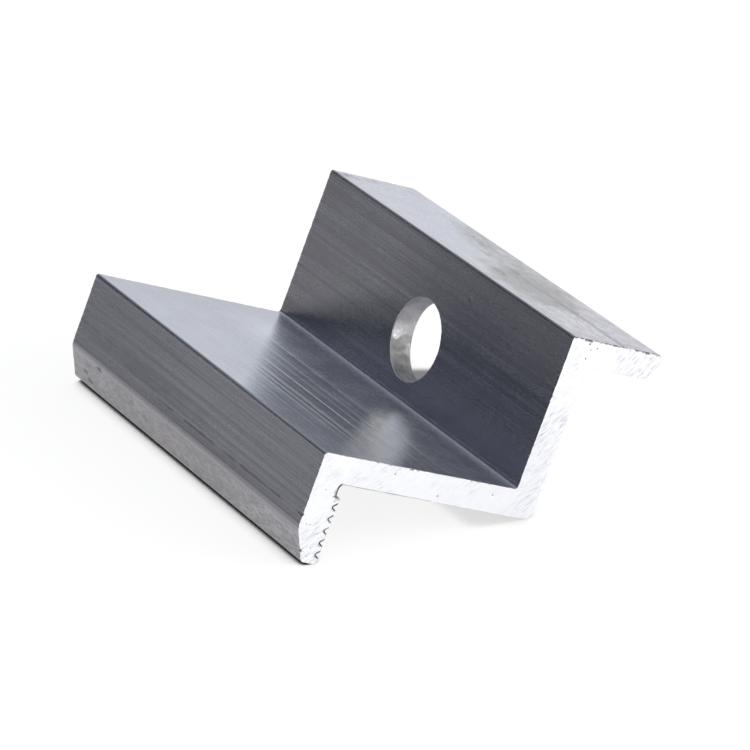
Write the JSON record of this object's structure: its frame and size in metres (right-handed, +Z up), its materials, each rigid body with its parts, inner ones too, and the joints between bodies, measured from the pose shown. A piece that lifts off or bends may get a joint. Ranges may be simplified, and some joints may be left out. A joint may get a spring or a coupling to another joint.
{
  "type": "solar panel end clamp",
  "caption": "Z-section extruded aluminium end clamp that holds the edge of a framed solar panel to a mounting rail with a bolt through its web.",
  "frame": {"origin": "centre of the piece's footprint, on the surface that it lies on", "axes": "+Y along the extrusion, +Z up, +X across from the lip to the foot. The piece lies as it comes to rest, on the lip's rounded bottom and the outside corner of plate and web, so its plate slopes down towards +X at 20.73 degrees. The bolt_hole mount's axis is square to the web."},
  "size_m": [0.0408, 0.05, 0.0188],
  "materials": {
    "mill_aluminium": "mill finish with fine lengthwise extrusion lines, sawn ends"
  },
  "bodies": {
    "root": {"end_clamp": "mill_aluminium"}
  },
  "joints": []
}
